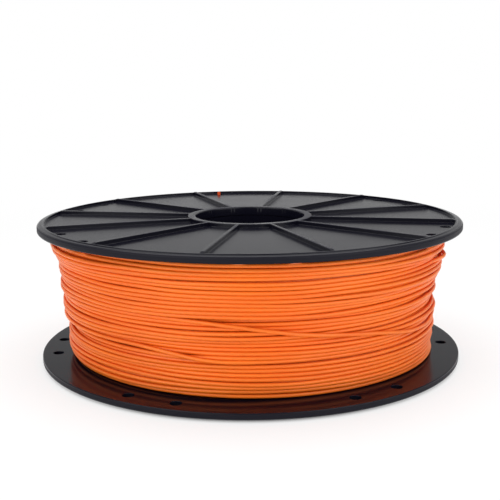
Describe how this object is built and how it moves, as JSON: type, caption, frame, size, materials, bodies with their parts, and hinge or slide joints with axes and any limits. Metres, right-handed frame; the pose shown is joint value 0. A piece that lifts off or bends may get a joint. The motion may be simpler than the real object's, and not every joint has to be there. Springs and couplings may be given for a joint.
{
  "type": "filament spool",
  "caption": "Moulded reel of ribbed flanges and a hollow drum, wound with filament for a 3D printer; lies on a flange or turns on a spindle.",
  "frame": {"origin": "centre of the face that the spool lies on, on the axis of the spindle bore", "axes": "+Z along the spindle bore, from the lower flange to the upper one; the lower flange has a pair of tuck holes astride +X and the upper one a pair astride +Y"},
  "size_m": [0.2, 0.2, 0.0668],
  "materials": {
    "black_plastic": "satin moulded",
    "orange_filament": "satin extruded strand"
  },
  "bodies": {
    "root": {"lower_flange": "black_plastic", "upper_flange": "black_plastic", "winding_drum": "black_plastic", "filament_inner_layers": "orange_filament", "filament_outer_layer": "orange_filament"}
  },
  "joints": []
}
